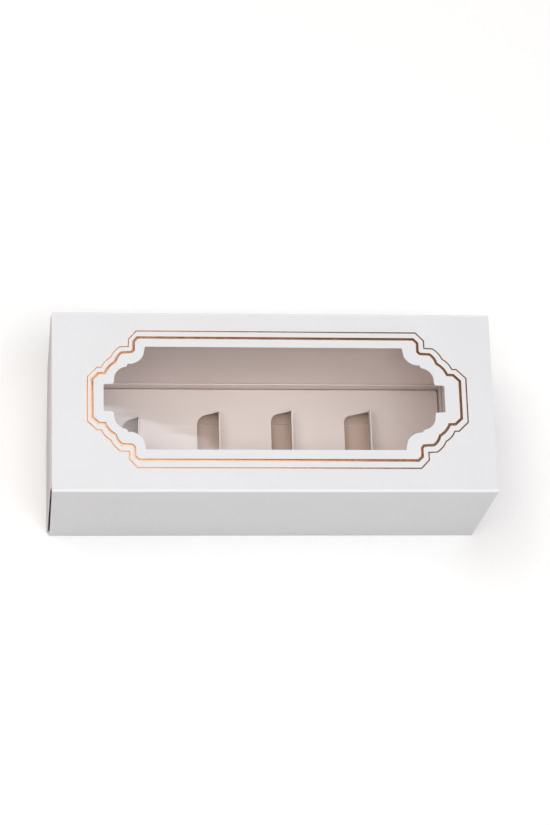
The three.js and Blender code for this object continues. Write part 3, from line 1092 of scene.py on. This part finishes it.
def on_dome(azimuth, elevation, distance=1.3):
    """A place round the box: the azimuth runs from the front towards the right, in degrees."""
    a, e = np.radians(azimuth), np.radians(elevation)
    return (
        distance * np.cos(e) * np.sin(a),
        -distance * np.cos(e) * np.cos(a),
        LIT_POINT[2] + distance * np.sin(e),
    )


def build_floor(base, glow):
    """The floor: a wide disc of rings, whose radius grows with the cube of the step. It glows more away from
    the box, as a lit backdrop does."""
    rings = np.linspace(0.01, 1, FLOOR_RINGS) ** 3 * FLOOR_RADIUS
    angle = np.linspace(0, 2 * np.pi, FLOOR_SPOKES, endpoint=False)
    grid = np.empty((len(angle), len(rings), 3))
    grid[..., 0] = np.cos(angle)[:, None] * rings
    grid[..., 1] = np.sin(angle)[:, None] * rings
    grid[..., 2] = SLEEVE_LOW.z - FLOOR_DROP
    floor = object_from("floor", [(grid[::-1], True)])
    nodes = Nodes("floor_paint")
    tone = nodes.mix(nodes.ramp(nodes.noise(3.0), 0.0, 1.0), rgba(base, 0.995), rgba(base, 1.005))
    away = nodes.add("ShaderNodeVectorMath", {0: nodes.place}, operation="LENGTH").outputs["Value"]
    inputs = {"Value": away, "From Min": GLOW_START, "From Max": GLOW_FULL, "To Min": glow, "To Max": 1.0}
    shine = nodes.add("ShaderNodeMapRange", inputs, interpolation_type="SMOOTHSTEP").outputs["Result"]
    nodes.principled(**{
        "Base Color": tone,
        "Roughness": 0.9,
        "Emission Color": (1.0, 1.0, 1.0, 1.0),
        "Emission Strength": shine,
    })
    floor.data.materials.append(nodes.material)


class MACARON_OT_stage(Operator):
    """Makes the floor, the lights and the camera"""

    bl_idname = "macaron_box.stage"
    bl_label = "Make stage"

    def execute(self, context):
        scene = context.scene
        stage = scene.macaron_box.stage
        build_floor(stage.floor, stage.glow)
        world = bpy.data.worlds.new("studio")
        world.use_nodes = True
        room = world.node_tree.nodes["Background"]
        room.inputs["Color"].default_value = rgba(stage.room)
        room.inputs["Strength"].default_value = stage.ambient
        scene.world = world
        for name, (azimuth, elevation, width, height, tint) in SOFTBOXES.items():
            place = on_dome(azimuth, elevation)
            softbox(name, place, (width, height), getattr(stage, name), tint)
        softbox("strip", STRIP_PLACE, STRIP_SIZE, stage.strip, STRIP_TINT, STRIP_BELOW, STRIP_SPIN)
        camera = bpy.data.cameras.new("camera")
        camera.sensor_fit = "VERTICAL"
        camera.sensor_height = SENSOR
        camera.lens = SENSOR * FOCAL_PIXELS / PHOTO_HEIGHT
        camera.clip_start, camera.clip_end = 0.05, 50.0
        view = bpy.data.objects.new("camera", camera)
        scene.collection.objects.link(view)
        view.matrix_world = camera_matrix()
        scene.camera = view
        scene.view_settings.view_transform = "Standard"
        return {"FINISHED"}


OPERATORS = (
    MACARON_OT_sleeve,
    MACARON_OT_film,
    MACARON_OT_borders,
    MACARON_OT_tray,
    MACARON_OT_insert,
    MACARON_OT_stage,
)


class MACARON_PT_sidebar(Panel):
    """Lists what the box is made of"""

    bl_idname = "MACARON_PT_sidebar"
    bl_label = "Macaron Box"
    bl_space_type = "VIEW_3D"
    bl_region_type = "UI"
    bl_category = "Macaron Box"

    def draw(self, context):
        for operator in OPERATORS:
            self.layout.operator(operator.bl_idname)


CLASSES = (
    SleeveSizes,
    TraySizes,
    InsertSizes,
    Finishes,
    StageSettings,
    BoxSettings,
    *OPERATORS,
    MACARON_PT_sidebar,
)


def register():
    for made in CLASSES:
        bpy.utils.register_class(made)
    bpy.types.Scene.macaron_box = PointerProperty(type=BoxSettings)


def unregister():
    del bpy.types.Scene.macaron_box
    for made in reversed(CLASSES):
        bpy.utils.unregister_class(made)


def main():
    register()
    bpy.ops.macaron_box.sleeve()
    bpy.ops.macaron_box.film()
    bpy.ops.macaron_box.borders()
    bpy.ops.macaron_box.tray()
    bpy.ops.macaron_box.insert()
    bpy.ops.macaron_box.stage()


if __name__ == "__main__":
    main()
